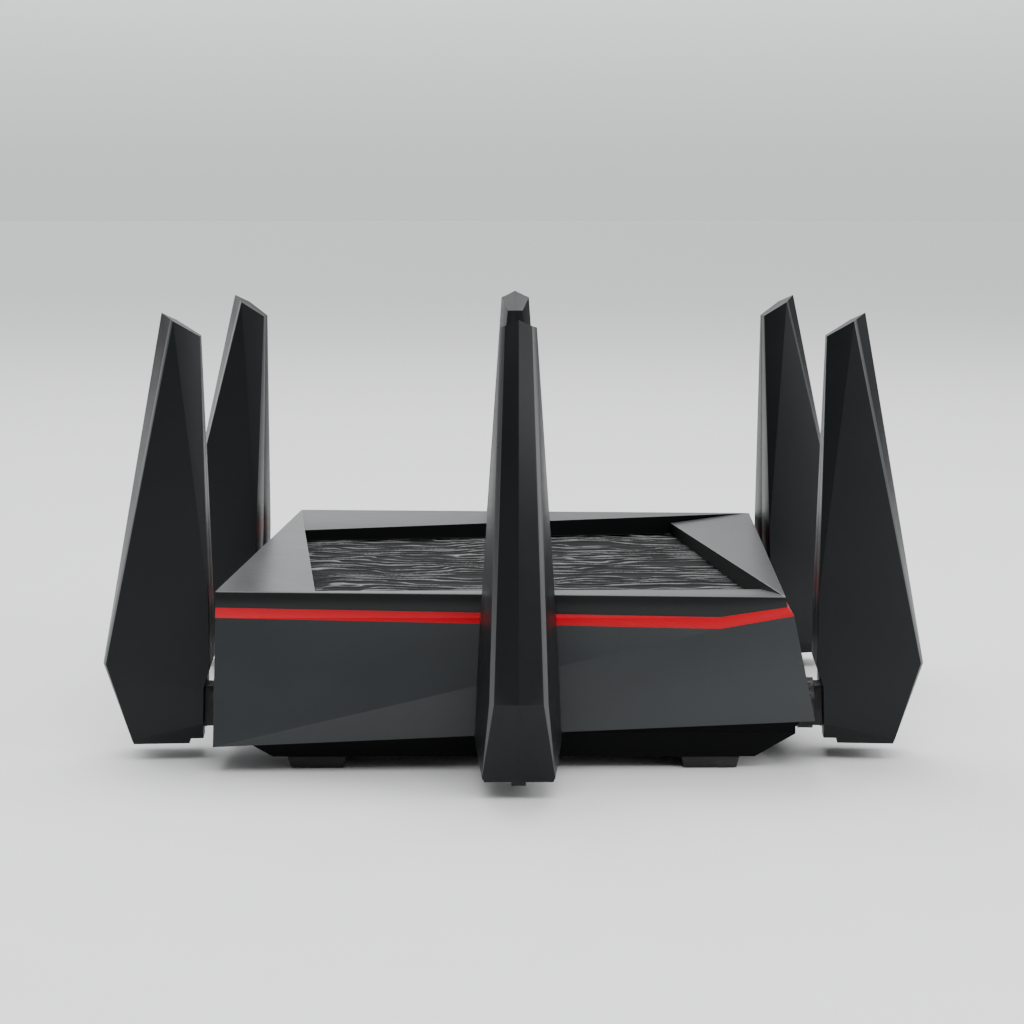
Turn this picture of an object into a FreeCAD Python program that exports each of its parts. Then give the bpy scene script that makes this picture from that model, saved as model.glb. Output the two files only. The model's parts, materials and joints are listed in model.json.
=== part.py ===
import FreeCAD, Part
import math
import os

# Six-antenna wireless router. Millimetres, +Z up, origin on the table under the middle of the case.
# The front faces -Y. The case is a square twisted a few degrees, so most of its outline is one
# side turned four times about Z.

Vector = FreeCAD.Vector

# ---- driving dimensions -------------------------------------------------------------------------
TOP_Z = 69.5                 # height of the case's top outline
TOP_CORNER = (-114.0, -102.4)        # front-left corner of the top outline
RIM_CORNER = (-114.0, -103.2)        # the same corner where the dark rim meets the red band
BAND_CORNER = (-113.8, -105.8)       # and where the red band meets the side housing
FOOT_CORNER = (-114.5, -114.5)       # and at the housing's lower edge
RIM_HEIGHT = (6.2, 4.1)              # rim height at the front-left and front-right corners
BAND_HEIGHT = (3.4, 3.4)             # red band height at those corners
LOW_EDGE_Z = (11.5, 21.5)            # lower edge of the housing at those corners
BEND_X = 78.0                # where a side's bands bend, from the side's middle
BEND_RIM = 8.1               # rim height at the bend
BEND_BAND = 4.3              # red band height at the bend
BEND_RIM_OUT = 0.3           # how far the rim's lower edge stands out at the bend
WALL = 3.0                   # housing wall
LAP = 2.2                    # how far the top cover's lap steps in under its outline
LAP_EDGE = 0.3               # thickness of the cover where the lap starts

FACET_ANGLE = 10.2           # plan angle between a side and its facet's inner edge, degrees
FACET_DEPTH = 4.2            # how far each facet's inner point lies under the outline
PANEL_DEPTH = 9.3            # how far the textured panel lies under the outline
PANEL_THICK = 2.5
COVER_THICK = 2.5
COVER_WALL = 5.0
POST_PLACE = (-88.0, -60.0)  # one of the cover's four screw posts
POST_RADIUS = 4.0
POST_FOOT_Z = 12.3
POST_TOP_Z = 65.0

PAN_FLOOR = (93.0, 104.0)    # half width and half depth of the pan's flat floor
PAN_TOP = 108.0              # half width of the pan's walls
PAN_FLOOR_Z = 5.0
PAN_KNEE_Z = 15.0
PAN_RIM_Z = 22.4
PAN_THICK = 2.5
PAN_FLANGE_THICK = 1.8
STANDOFF_PLACE = (62.0, 58.0)  # the board's standoffs
FOOT_TOP = (22.7, 20.0)
FOOT_SOLE = (20.5, 18.0)
FOOT_PLACE = (76.0, 93.9)
SCREW_RADIUS = 1.45
SCREW_HEAD_RADIUS = 3.0
SCREW_SEAT_Z = 7.2           # underside of the case the screw heads pull up against
SCREW_TOP_Z = 20.0
VENT_ROWS = 9                # cooling slots in each of the floor's two groups
VENT_PITCH = 6.0
VENT_SIZE = (56.0, 2.4)
VENT_GROUP_Y = 50.0
PLATE_SIZE = (60.0, 22.0, 0.4)

BOARD_Z = 23.4
BOARD_THICK = 1.6
BOARD_TOP = BOARD_Z + BOARD_THICK
BOARD_X = 90.0
BOARD_Y = (-84.0, 102.0)
CHIP_CAN_HEIGHT = 1.2        # the low can under the heatsink
CAN_HEIGHT = 3.2
HEATSINK_SIZE = (68.0, 60.0, 17.0)
FIN_COUNT = 12
FIN_PITCH = 6.0
FIN_THICK = 1.6

BACK_NOTCH = 13.6            # half width of the clearance round the back antenna's boss
WINDOW_X = (19.0, 101.0)     # each port window, measured from the middle of the back
WINDOW_Z = (23.0, 43.5)
BEZEL_Y = (103.8, 105.4)     # the port bezel's back plate
BEZEL_WALL = 1.2
BEZEL_GAP = 0.2
SOCKET_FACE_Y = 106.0

NETWORK_PORTS = 5
NETWORK_PITCH = 15.4
NETWORK_START_X = 21.5
NETWORK_HEIGHT = 13.6
NETWORK_CAVITY = (11.9, 14.0, 9.0)
USB_X = -56.0
USB_SHELL = (14.6, 7.6)      # width and height
USB_MOUTH = (12.6, 12.0, 5.2)
DC_X = -91.0
DC_BODY = (10.0, 11.0)
DC_HOLE_RADIUS = 3.2
LIGHT_WINDOW = (3.2, 1.5)
LIGHT_WINDOW_Z = 39.7
BUTTON_Z = 31.0
BUTTON_TRAVEL = 1.4
BUTTON_FLANGE_Y = (102.1, 103.7)     # the flange that holds a button behind the bezel
SWITCH_GAP = 0.5             # left between a pressed button and its switch
BUTTONS = {                  # name: place along X, cap radius, how far the cap stands out to
    "power_button": (-78.5, 4.0, 108.0),
    "wps_button": (-43.0, 2.6, 107.4),
    "wifi_button": (-34.5, 2.6, 107.4),
    "reset_button": (-27.0, 1.3, 105.2),
}

# Antennas. Each blade is drawn in its own frame: X runs out from the case's middle, Y across the
# blade, Z up.
SEAT = 115.0                 # distance of the case's side from its middle
HINGE = (127.0, 20.5)        # hinge axis: distance out and height
BLADE_TIP = (135.5, 174.6)
BLADE_SHOULDER = (131.7, 4.9)        # where the outer face meets its bevel, at the top
BLADE_BEVEL = (130.6, 6.7)           # where the bevel meets the broad side, at the top
BLADE_INNER_TOP = (120.7, 3.6, 165.6)
BLADE_CREASE_END = (119.0, 14.0, 66.0)
BLADE_WIDE = (161.2, 39.1)           # the outermost corner
BLADE_WIDE_SHOULDER = (160.3, 8.9)
BLADE_WIDE_BEVEL = (159.2, 10.6)
BLADE_HEEL = (149.0, 7.5)
BLADE_STEP = ((127.5, 7.5), (127.0, 9.7), (122.0, 9.7), (121.4, 30.5), (119.0, 37.0))
HEEL_HALF = 12.6             # half width of the heel's underside
HEEL_SLOPE = 0.45            # how fast the heel's sides widen above it
SHELL_WALL = 2.0
CAVITY_FLOOR = 42.0
TONGUE_HALF = 5.0
TONGUE_RADIUS = 8.0
SLOT_HALF = 5.3
NUT_RADIUS = 10.0
NUT_REACH = (112.7, 118.4)
BARREL_RADIUS = 7.6
JACK_RADIUS = 3.15
JACK_REACH = (98.0, 117.4)
BOSS_RADIUS = 9.5
BOSS_REACH = (100.0, 112.4)
RUN_FIT = 0.05
PIN_RADIUS = 1.5
LEAD_RADIUS = 0.7
LEAD_INNER = 86.0

FRONT_SPLAY = 4.0            # side antennas turn their outer edges apart by this, degrees
BACK_SPLAY = 7.5
BACK_LEFT_LEAN = -2.6        # the two back side antennas lean in over the case, degrees
BACK_RIGHT_LEAN = -1.9       # less than the left one, clear of the case's flared side
SIDE_ROW = 80.0              # how far the side antennas stand from the middle
MIDDLE_OFFSET = 1.6          # how far the front and back antennas stand right of the middle
ANTENNAS = {                 # name: direction it faces, place along the side, splay, lean
    "front_left": (180.0, SIDE_ROW, FRONT_SPLAY, 0.0),
    "back_left": (180.0, -SIDE_ROW, -BACK_SPLAY, BACK_LEFT_LEAN),
    "front_right": (0.0, -SIDE_ROW, -FRONT_SPLAY, 0.0),
    "back_right": (0.0, SIDE_ROW, BACK_SPLAY, BACK_RIGHT_LEAN),
    "front": (-90.0, MIDDLE_OFFSET, 0.0, 0.0),
    "back": (90.0, -MIDDLE_OFFSET, 0.0, 0.0),
}


# ---- building helpers ---------------------------------------------------------------------------
def facet(*points):
    return Part.Face(Part.makePolygon(list(points) + [points[0]]))


def closed_solid(faces):
    solid = Part.makeSolid(Part.makeShell(faces))
    if solid.Volume < 0:
        solid.reverse()
    return solid


def box(low, high):
    size = Vector(*high) - Vector(*low)
    return Part.makeBox(size.x, size.y, size.z, Vector(*low))


def rod(radius, start, end):
    start = Vector(*start)
    along = Vector(*end) - start
    return Part.makeCylinder(radius, along.Length, start, along)


def joined(first, *others):
    return first.multiFuse(list(others)).removeSplitter()


def turned(point, quarter):
    x, y = point[0], point[1]
    for _ in range(quarter % 4):
        x, y = -y, x
    return x, y


def inset_square(corner, distance):
    keep = 1.0 - distance * math.sqrt(2.0) / math.hypot(*corner)
    return corner[0] * keep, corner[1] * keep


def square_loop(corner, z):
    return [Vector(*turned(corner, quarter), z) for quarter in range(4)]


def straight_band(upper, lower):
    faces = []
    for i in range(len(upper)):
        j = (i + 1) % len(upper)
        faces.append(facet(lower[i], lower[j], upper[j]))
        faces.append(facet(lower[i], upper[j], upper[i]))
    return faces


def cap(loop):
    height = sum(point.z for point in loop) / len(loop)
    centre = Vector(0, 0, height)
    return [facet(centre, loop[i], loop[(i + 1) % len(loop)]) for i in range(len(loop))]


def stacked(loops):
    faces = cap(loops[0]) + cap(loops[-1])
    for upper, lower in zip(loops, loops[1:]):
        faces += straight_band(upper, lower)
    return closed_solid(faces)


def tapered_block(top_size, top_z, sole_size, sole_z, place=(0.0, 0.0)):
    def rectangle(size, z):
        x, y = size[0] / 2, size[1] / 2
        corners = [(-x, -y), (x, -y), (x, y), (-x, y)]
        return [Vector(place[0] + cx, place[1] + cy, z) for cx, cy in corners]
    top = rectangle(top_size, top_z)
    sole = rectangle(sole_size, sole_z)
    faces = [facet(*top), facet(*sole)]
    for i in range(4):
        j = (i + 1) % 4
        faces.append(facet(sole[i], sole[j], top[j], top[i]))
    return closed_solid(faces)


# ---- the case's outline -------------------------------------------------------------------------
def bend_y():
    start, end = Vector(*TOP_CORNER, 0), Vector(*turned(TOP_CORNER, 1), 0)
    share = (BEND_X - start.x) / (end.x - start.x)
    return start.y + share * (end.y - start.y)


def housing_bend(quarter):
    """The bend's lower point lies in the plane of the lower facet of its side."""
    left = Vector(*FOOT_CORNER, LOW_EDGE_Z[quarter % 2])
    right = Vector(*turned(FOOT_CORNER, 1), LOW_EDGE_Z[(quarter + 1) % 2])
    depth = RIM_HEIGHT[(quarter + 1) % 2] + BAND_HEIGHT[(quarter + 1) % 2]
    upper = Vector(*turned(BAND_CORNER, 1), TOP_Z - depth)
    normal = (right - left).cross(upper - left)
    z = TOP_Z - BEND_RIM - BEND_BAND
    y = left.y - (normal.x * (BEND_X - left.x) + normal.z * (z - left.z)) / normal.y
    return Vector(*turned((BEND_X, y), quarter), z)


def outline_loop(level):
    """Corner and bend points of one level, front-left corner first."""
    loop = []
    for quarter in range(4):
        rim = RIM_HEIGHT[quarter % 2]
        band = BAND_HEIGHT[quarter % 2]
        if level == "top":
            loop.append(Vector(*turned(TOP_CORNER, quarter), TOP_Z - LAP_EDGE))
            loop.append(Vector(*turned((BEND_X, bend_y()), quarter), TOP_Z - LAP_EDGE))
        elif level == "rim":
            loop.append(Vector(*turned(RIM_CORNER, quarter), TOP_Z - rim))
            bend = (BEND_X, bend_y() - BEND_RIM_OUT)
            loop.append(Vector(*turned(bend, quarter), TOP_Z - BEND_RIM))
        else:
            loop.append(Vector(*turned(BAND_CORNER, quarter), TOP_Z - rim - band))
            loop.append(housing_bend(quarter))
    return loop


def case_well(inset, low_z, high_z):
    corner = inset_square(TOP_CORNER, inset)
    return stacked([square_loop(corner, high_z), square_loop(corner, low_z)])


def lap_envelope():
    """Space that the top cover fills: its outline, stepping in under the edge to clear the rim."""
    inner = inset_square(TOP_CORNER, LAP)
    return stacked([
        square_loop(TOP_CORNER, TOP_Z + 1),
        square_loop(TOP_CORNER, TOP_Z - LAP_EDGE),
        square_loop(inner, TOP_Z - LAP_EDGE - LAP),
        square_loop(inner, TOP_Z - 25),
    ])


def housing_body(inset, reach=0.0):
    """The side housing's faceted outside, moved in by inset and run past both ends by reach."""
    keep = 1.0 + inset / FOOT_CORNER[0]

    def moved(point):
        return Vector(point.x * keep, point.y * keep, point.z)
    upper = [moved(point) for point in outline_loop("band")]
    lower = []
    for quarter in range(4):
        lower.append(moved(Vector(*turned(FOOT_CORNER, quarter), LOW_EDGE_Z[quarter % 2])))
    faces = []
    for quarter in range(4):
        left, right = lower[quarter], lower[(quarter + 1) % 4]
        corner, bend = upper[2 * quarter], upper[2 * quarter + 1]
        next_corner = upper[(2 * quarter + 2) % 8]
        faces.append(facet(left, bend, corner))
        faces.append(facet(left, right, next_corner))
        faces.append(facet(left, next_corner, bend))
    if reach:
        lift = Vector(0, 0, reach)
        raised = [point + lift for point in upper]
        lowered = [point - lift for point in lower]
        faces += straight_band(raised, upper) + straight_band(lower, lowered)
        upper, lower = raised, lowered
    return closed_solid(faces + cap(upper) + cap(lower)).removeSplitter()


# ---- antenna placing ----------------------------------------------------------------------------
def placed(shape, name):
    """Carry a shape from a blade's own frame to its antenna's place on the case."""
    facing, along, splay, _ = ANTENNAS[name]
    shape = shape.copy()
    shape.rotate(Vector(SEAT, 0, 0), Vector(0, 0, 1), splay)
    shape.translate(Vector(0, along, 0))
    shape.rotate(Vector(0, 0, 0), Vector(0, 0, 1), facing)
    return shape


def leaned(shape, name):
    """Lean a blade's own piece about its hinge."""
    shape = shape.copy()
    shape.rotate(Vector(HINGE[0], 0, HINGE[1]), Vector(0, 1, 0), ANTENNAS[name][3])
    return shape


def at_every_antenna(shape):
    return [placed(shape, name) for name in ANTENNAS]


# ---- case pieces --------------------------------------------------------------------------------
def facet_points(quarter):
    start = Vector(*turned(TOP_CORNER, quarter), TOP_Z)
    end = Vector(*turned(TOP_CORNER, quarter + 1), TOP_Z)
    side = (end - start).Length
    along = (end - start).normalize()
    inward = Vector(-along.y, along.x, 0)
    angle = math.radians(FACET_ANGLE)
    reach = side * math.cos(angle)
    inner = start + along * (reach * math.cos(angle)) + inward * (reach * math.sin(angle))
    inner.z = TOP_Z - FACET_DEPTH
    return [start, end, inner]


def wedge(points, floor_z):
    floor = [Vector(point.x, point.y, floor_z) for point in points]
    faces = [facet(*points), facet(*floor)]
    for i in range(3):
        j = (i + 1) % 3
        faces.append(facet(floor[i], floor[j], points[j], points[i]))
    return closed_solid(faces)


def hollow_wedge(points):
    """The space under one facet, inside the cover's walls."""
    sides = [(points[2] - points[1]).Length, (points[0] - points[2]).Length]
    sides.append((points[1] - points[0]).Length)
    total = sum(sides)
    middle = sum((point * (side / total) for point, side in zip(points, sides)), Vector())
    area = (points[1] - points[0]).cross(points[2] - points[0]).Length / 2
    keep = 1.0 - COVER_WALL * total / (2 * area)
    drop = Vector(0, 0, COVER_THICK)
    return wedge([middle + (point - middle) * keep - drop for point in points],
                 TOP_Z - PANEL_DEPTH - 1)


def top_cover():
    facets = [facet_points(quarter) for quarter in range(4)]
    wedges = [wedge(points, TOP_Z - PANEL_DEPTH) for points in facets]
    cover = joined(*wedges).common(lap_envelope())
    for points in facets:
        cover = cover.cut(hollow_wedge(points))
    posts = []
    for quarter in range(4):
        x, y = turned(POST_PLACE, quarter)
        posts.append(rod(POST_RADIUS, (x, y, POST_FOOT_Z), (x, y, POST_TOP_Z)))
    cover = joined(cover, *posts)
    for quarter in range(4):
        x, y = turned(POST_PLACE, quarter)
        cover = cover.cut(rod(SCREW_RADIUS + RUN_FIT, (x, y, POST_FOOT_Z), (x, y, SCREW_TOP_Z + 2)))
    return cover


def textured_panel():
    corners = [facet_points(quarter)[2] for quarter in range(4)]
    under = COVER_WALL / 2
    corner = inset_square((corners[0].x, corners[0].y), -under)
    top = TOP_Z - PANEL_DEPTH
    return stacked([square_loop(corner, top), square_loop(corner, top - PANEL_THICK)])


def rim_band():
    ring = stacked([outline_loop("top"), outline_loop("rim")])
    return ring.cut(lap_envelope()).removeSplitter()


def red_trim_band():
    ring = stacked([outline_loop("rim"), outline_loop("band")])
    return ring.cut(case_well(LAP, TOP_Z - 40, TOP_Z)).removeSplitter()


def side_housing():
    housing = housing_body(0).cut(housing_body(WALL, reach=12))
    housing = housing.cut(case_well(LAP, TOP_Z - 14, TOP_Z))
    for side in (-1, 1):
        xs = sorted((side * WINDOW_X[0], side * WINDOW_X[1]))
        housing = housing.cut(box((xs[0], 96, WINDOW_Z[0]), (xs[1], 125, WINDOW_Z[1])))
    hole = rod(NUT_RADIUS + 0.6, (SEAT - 12, 0, HINGE[1]), (SEAT + 5, 0, HINGE[1]))
    return housing.cut(at_every_antenna(hole))


def vent_slots():
    """Two groups of cooling slots in the pan's floor."""
    length, width = VENT_SIZE
    slots = []
    for side in (-1, 1):
        for row in range(VENT_ROWS):
            y = side * VENT_GROUP_Y + (row - VENT_ROWS // 2) * VENT_PITCH
            slots.append(box((-length / 2, y, PAN_FLOOR_Z - 1),
                             (length / 2, y + width, PAN_FLOOR_Z + PAN_THICK + 1)))
    return slots


def pan_flange():
    """The lip that closes the gap between the pan's walls and the housing."""
    reach = -FOOT_CORNER[0]
    lip = box((-reach, -reach, PAN_RIM_Z - PAN_FLANGE_THICK), (reach, reach, PAN_RIM_Z))
    return lip.common(housing_body(WALL + 0.2, reach=12))


def base_pan():
    floor = (2 * PAN_FLOOR[0], 2 * PAN_FLOOR[1])
    top = (2 * PAN_TOP, 2 * PAN_TOP)
    pan = joined(
        tapered_block(top, PAN_KNEE_Z, floor, PAN_FLOOR_Z),
        box((-PAN_TOP, -PAN_TOP, PAN_KNEE_Z), (PAN_TOP, PAN_TOP, PAN_RIM_Z)),
        pan_flange(),
    )
    thin = 2 * PAN_THICK
    inner_top = (top[0] - thin, top[1] - thin)
    inner = joined(
        tapered_block(inner_top, PAN_KNEE_Z, (floor[0] - thin, floor[1] - thin),
                      PAN_FLOOR_Z + PAN_THICK),
        box((-PAN_TOP + PAN_THICK, -PAN_TOP + PAN_THICK, PAN_KNEE_Z),
            (PAN_TOP - PAN_THICK, PAN_TOP - PAN_THICK, PAN_RIM_Z + 1)),
    )
    bosses = at_every_antenna(rod(BOSS_RADIUS, (BOSS_REACH[0], 0, HINGE[1]),
                                  (BOSS_REACH[1], 0, HINGE[1])))
    seats = []
    drilled = at_every_antenna(rod(JACK_RADIUS + RUN_FIT, (90, 0, HINGE[1]), (120, 0, HINGE[1])))
    drilled += at_every_antenna(rod(NUT_RADIUS + 0.4, (BOSS_REACH[1] + 0.1, 0, HINGE[1]),
                                    (SEAT + 5, 0, HINGE[1])))
    for quarter in range(4):
        x, y = turned(POST_PLACE, quarter)
        seats.append(rod(6.0, (x, y, PAN_FLOOR_Z + 1), (x, y, POST_FOOT_Z - 0.1)))
        drilled.append(rod(SCREW_RADIUS + 0.15, (x, y, 0), (x, y, SCREW_TOP_Z)))
        drilled.append(rod(SCREW_HEAD_RADIUS + 0.4, (x, y, 0), (x, y, SCREW_SEAT_Z)))
    for x in (-STANDOFF_PLACE[0], STANDOFF_PLACE[0]):
        for y in (-STANDOFF_PLACE[1], STANDOFF_PLACE[1]):
            seats.append(rod(3.0, (x, y, PAN_FLOOR_Z + 1), (x, y, BOARD_Z)))
    open_pan = pan.cut(inner).cut(vent_slots())
    return joined(open_pan, *(bosses + seats)).cut(drilled)


def rubber_feet():
    feet = []
    for x in (-FOOT_PLACE[0], FOOT_PLACE[0]):
        for y in (-FOOT_PLACE[1], FOOT_PLACE[1]):
            feet.append(tapered_block(FOOT_TOP, PAN_FLOOR_Z, FOOT_SOLE, 0, (x, y)))
    return feet


def case_screws():
    screws = []
    for quarter in range(4):
        x, y = turned(POST_PLACE, quarter)
        head = rod(SCREW_HEAD_RADIUS, (x, y, PAN_FLOOR_Z + 0.4), (x, y, SCREW_SEAT_Z))
        shank = rod(SCREW_RADIUS, (x, y, SCREW_SEAT_Z), (x, y, SCREW_TOP_Z))
        slot = box((x - 2, y - 0.4, PAN_FLOOR_Z), (x + 2, y + 0.4, PAN_FLOOR_Z + 1.3))
        screws.append(joined(head, shank).cut(slot))
    return screws


def rating_plate():
    length, width, thick = PLATE_SIZE
    return box((-length / 2, -width / 2, PAN_FLOOR_Z - thick), (length / 2, width / 2, PAN_FLOOR_Z))


# ---- electronics --------------------------------------------------------------------------------
def main_board():
    board = box((-BOARD_X, BOARD_Y[0], BOARD_Z), (BOARD_X, BOARD_Y[1], BOARD_TOP))
    cuts = [box((-BACK_NOTCH, 97.0, BOARD_Z - 1), (BACK_NOTCH, 110, BOARD_TOP + 1))]
    for quarter in range(4):
        x, y = turned(POST_PLACE, quarter)
        cuts.append(rod(POST_RADIUS + 0.6, (x, y, BOARD_Z - 1), (x, y, BOARD_TOP + 1)))
    return board.cut(cuts)


def heatsink():
    half_x, half_y = HEATSINK_SIZE[0] / 2, HEATSINK_SIZE[1] / 2
    low = BOARD_TOP + CHIP_CAN_HEIGHT
    fin_low = BOARD_TOP + 4
    base = box((-half_x, -half_y, low), (half_x, half_y, fin_low))
    fins = []
    for i in range(FIN_COUNT):
        x = -half_x + i * FIN_PITCH
        fins.append(box((x, -half_y, fin_low), (x + FIN_THICK, half_y, BOARD_TOP + HEATSINK_SIZE[2])))
    return joined(base, *fins)


def shield_cans():
    top = BOARD_TOP + CAN_HEIGHT
    half_x, half_y = HEATSINK_SIZE[0] / 2, HEATSINK_SIZE[1] / 2
    return [
        box((-half_x, -half_y, BOARD_TOP), (half_x, half_y, BOARD_TOP + CHIP_CAN_HEIGHT)),
        box((-80, -55, BOARD_TOP), (-45, 0, top)),
        box((45, -55, BOARD_TOP), (80, 0, top)),
        box((-30, -76, BOARD_TOP), (30, -42, top)),
    ]


def antenna_jacks():
    barrel = rod(JACK_RADIUS, (JACK_REACH[0], 0, HINGE[1]), (JACK_REACH[1], 0, HINGE[1]))
    return at_every_antenna(barrel)


def antenna_leads():
    run = rod(LEAD_RADIUS, (JACK_REACH[0], 0, HINGE[1]), (LEAD_INNER, 0, HINGE[1]))
    plug = rod(1.7, (LEAD_INNER, 0, HINGE[1] - 1), (LEAD_INNER, 0, BOARD_Z))
    return at_every_antenna(joined(run, plug))


def port_centre(index):
    return NETWORK_START_X + NETWORK_PITCH * (index + 0.5)


def network_port_block():
    width = NETWORK_PITCH * NETWORK_PORTS
    block = box((NETWORK_START_X, 84, BOARD_TOP),
                (NETWORK_START_X + width, SOCKET_FACE_Y, BOARD_TOP + NETWORK_HEIGHT))
    cavity_x, cavity_y, cavity_z = NETWORK_CAVITY
    floor = BOARD_TOP + 2.6
    for index in range(NETWORK_PORTS):
        x = port_centre(index)
        block = block.cut(box((x - cavity_x / 2, SOCKET_FACE_Y - cavity_y, floor),
                              (x + cavity_x / 2, SOCKET_FACE_Y + 1, floor + cavity_z)))
    return block


def usb_port():
    half, height = USB_SHELL[0] / 2, USB_SHELL[1]
    shell = box((USB_X - half, 92.5, BOARD_TOP), (USB_X + half, SOCKET_FACE_Y, BOARD_TOP + height))
    mouth_x, mouth_y, mouth_z = USB_MOUTH
    floor = BOARD_TOP + (height - mouth_z) / 2
    return shell.cut(box((USB_X - mouth_x / 2, SOCKET_FACE_Y - mouth_y, floor),
                         (USB_X + mouth_x / 2, SOCKET_FACE_Y + 1, floor + mouth_z)))


def dc_jack():
    half, height = DC_BODY[0] / 2, DC_BODY[1]
    body = box((DC_X - half, 90, BOARD_TOP), (DC_X + half, SOCKET_FACE_Y, BOARD_TOP + height))
    centre_z = BOARD_TOP + height / 2
    return body.cut(rod(DC_HOLE_RADIUS, (DC_X, SOCKET_FACE_Y - 10, centre_z),
                        (DC_X, SOCKET_FACE_Y + 1, centre_z)))


def light_windows(gap=0.0):
    half = LIGHT_WINDOW[0] / 2 + gap
    low_z = LIGHT_WINDOW_Z - gap
    high_z = LIGHT_WINDOW_Z + LIGHT_WINDOW[1] + gap
    windows = []
    for index in range(NETWORK_PORTS):
        x = port_centre(index)
        windows.append(box((x - half, BEZEL_Y[0] - gap, low_z),
                           (x + half, BEZEL_Y[1] + 0.3 + gap, high_z)))
    return windows


def rear_port_bezel():
    plate = box((-WINDOW_X[1] - 0.5, BEZEL_Y[0], WINDOW_Z[0] - 0.4),
                (WINDOW_X[1] + 0.5, BEZEL_Y[1], WINDOW_Z[1] + 1))
    trays = []
    hollows = [box((-BACK_NOTCH, 100, 15), (BACK_NOTCH, 115, HINGE[1] + 11.5))]
    for side in (-1, 1):
        xs = sorted((side * WINDOW_X[0], side * WINDOW_X[1]))
        low = (xs[0] + BEZEL_GAP, BEZEL_Y[0], WINDOW_Z[0] + BEZEL_GAP)
        high = (xs[1] - BEZEL_GAP, 120, WINDOW_Z[1] - BEZEL_GAP)
        trays.append(box(low, high).common(housing_body(0.5)))
        hollows.append(box((low[0] + BEZEL_WALL, BEZEL_Y[1], low[2] + BEZEL_WALL),
                           (high[0] - BEZEL_WALL, 121, high[2] - BEZEL_WALL)))
    width = NETWORK_PITCH * NETWORK_PORTS
    fit = 0.1
    sockets = [
        (NETWORK_START_X, NETWORK_START_X + width, BOARD_TOP, BOARD_TOP + NETWORK_HEIGHT),
        (USB_X - USB_SHELL[0] / 2, USB_X + USB_SHELL[0] / 2, BOARD_TOP, BOARD_TOP + USB_SHELL[1]),
        (DC_X - DC_BODY[0] / 2, DC_X + DC_BODY[0] / 2, BOARD_TOP, BOARD_TOP + DC_BODY[1]),
    ]
    for x0, x1, z0, z1 in sockets:
        hollows.append(box((x0 - fit, 100, z0 - fit), (x1 + fit, 108, z1 + fit)))
    for x, radius, _ in BUTTONS.values():
        hollows.append(rod(radius + 0.15, (x, 100, BUTTON_Z), (x, 108, BUTTON_Z)))
    return joined(plate, *trays).cut(hollows + light_windows(0.05))


def button(name):
    x, radius, face_y = BUTTONS[name]
    back_y, front_y = BUTTON_FLANGE_Y
    cap_rod = rod(radius, (x, back_y, BUTTON_Z), (x, face_y, BUTTON_Z))
    flange = rod(radius + 0.9, (x, back_y, BUTTON_Z), (x, front_y, BUTTON_Z))
    return joined(cap_rod, flange)


def button_switches():
    face_y = BUTTON_FLANGE_Y[0] - BUTTON_TRAVEL - SWITCH_GAP
    switches = []
    for x, _, _ in BUTTONS.values():
        switches.append(box((x - 3, face_y - 5, BOARD_TOP), (x + 3, face_y, BUTTON_Z + 3)))
    return switches


# ---- antenna pieces, in a blade's own frame -----------------------------------------------------
def plane_y(points, x, z):
    """Half width of the plane through three points, at a distance out and a height."""
    a, b, c = (Vector(*point) for point in points)
    normal = (b - a).cross(c - a)
    return a.y - (normal.x * (x - a.x) + normal.z * (z - a.z)) / normal.y


def top_edge_z(x):
    rise = (BLADE_TIP[1] - BLADE_INNER_TOP[2]) / (BLADE_TIP[0] - BLADE_INNER_TOP[0])
    return BLADE_TIP[1] - rise * (BLADE_TIP[0] - x)


def bevel_top():
    return BLADE_BEVEL[0], BLADE_BEVEL[1], top_edge_z(BLADE_BEVEL[0])


def bevel_wide():
    return BLADE_WIDE_BEVEL[0], BLADE_WIDE_BEVEL[1], BLADE_WIDE[1]


def broad_plane():
    return bevel_top(), BLADE_CREASE_END, bevel_wide()


def upper_plane():
    return bevel_top(), BLADE_INNER_TOP, BLADE_CREASE_END


def beyond(points, inset=0.0):
    """A thick slab lying outside the plane through three points, to cut away."""
    a, b, c = (Vector(*point) for point in points)
    normal = (b - a).cross(c - a).normalize()
    if normal.y < 0:
        normal = normal * -1
    slab = Part.makeBox(600, 600, 60, Vector(-300, -300, 0))
    slab.Placement = FreeCAD.Placement(a - normal * inset, FreeCAD.Rotation(Vector(0, 0, 1), normal))
    return slab


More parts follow.
